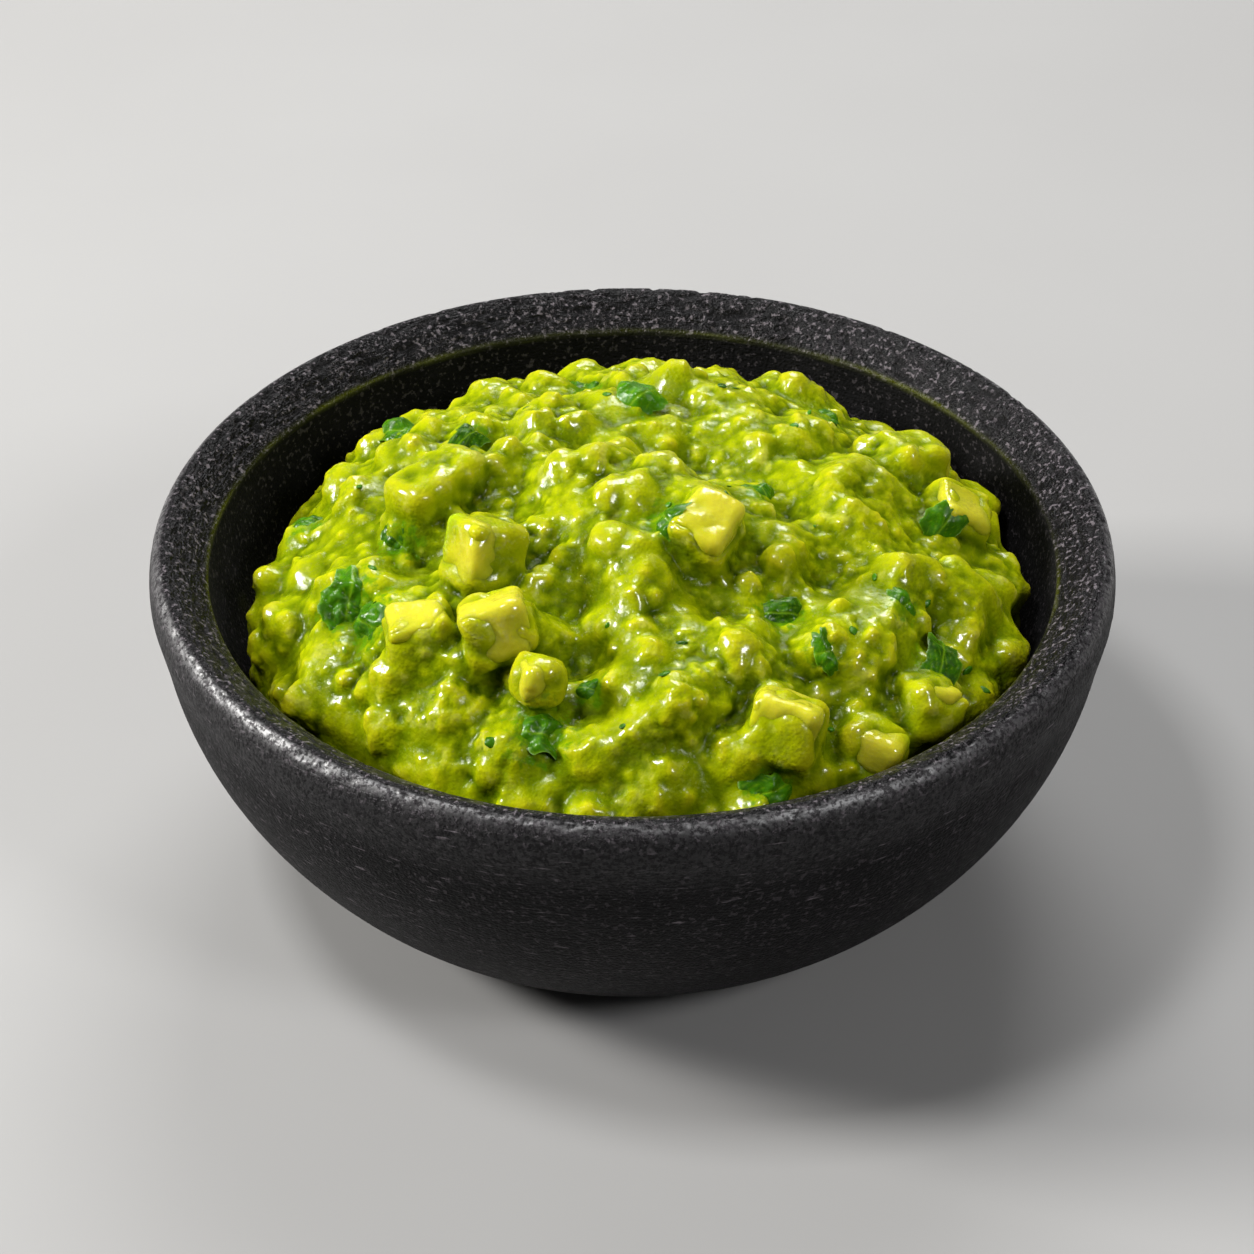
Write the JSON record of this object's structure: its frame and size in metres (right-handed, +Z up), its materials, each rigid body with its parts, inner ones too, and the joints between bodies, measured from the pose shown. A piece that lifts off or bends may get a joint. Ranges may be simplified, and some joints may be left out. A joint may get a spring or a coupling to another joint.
{
  "type": "bowl of guacamole",
  "caption": "Chunky avocado mash heaped in a thick round dark stone bowl with a rounded rim, with soft avocado dice showing in the mash.",
  "frame": {"origin": "middle of the bowl's flat foot, where the bowl meets the table", "axes": "+Z up out of the bowl; -Y towards the side that the dice lie nearest to; the bowl itself is round about Z"},
  "size_m": [0.15, 0.15, 0.0727],
  "materials": {
    "dark_stone": "rough dark stone, smoother and paler where it is worn",
    "avocado_mash": "wet lumpy yellow-green mash",
    "avocado_flesh": "soft wet yellow flesh, green towards the skin side",
    "green_herb": "wet chopped green leaf"
  },
  "bodies": {
    "root": {"bowl": "dark_stone", "guacamole": "avocado_mash", "avocado_dice_1": "avocado_flesh", "avocado_dice_2": "avocado_flesh", "avocado_dice_3": "avocado_flesh", "avocado_dice_4": "avocado_flesh", "avocado_dice_5": "avocado_flesh", "avocado_dice_6": "avocado_flesh", "avocado_dice_7": "avocado_flesh", "avocado_dice_8": "avocado_flesh", "avocado_dice_9": "avocado_flesh", "avocado_dice_10": "avocado_flesh", "avocado_dice_11": "avocado_flesh"}
  },
  "joints": []
}
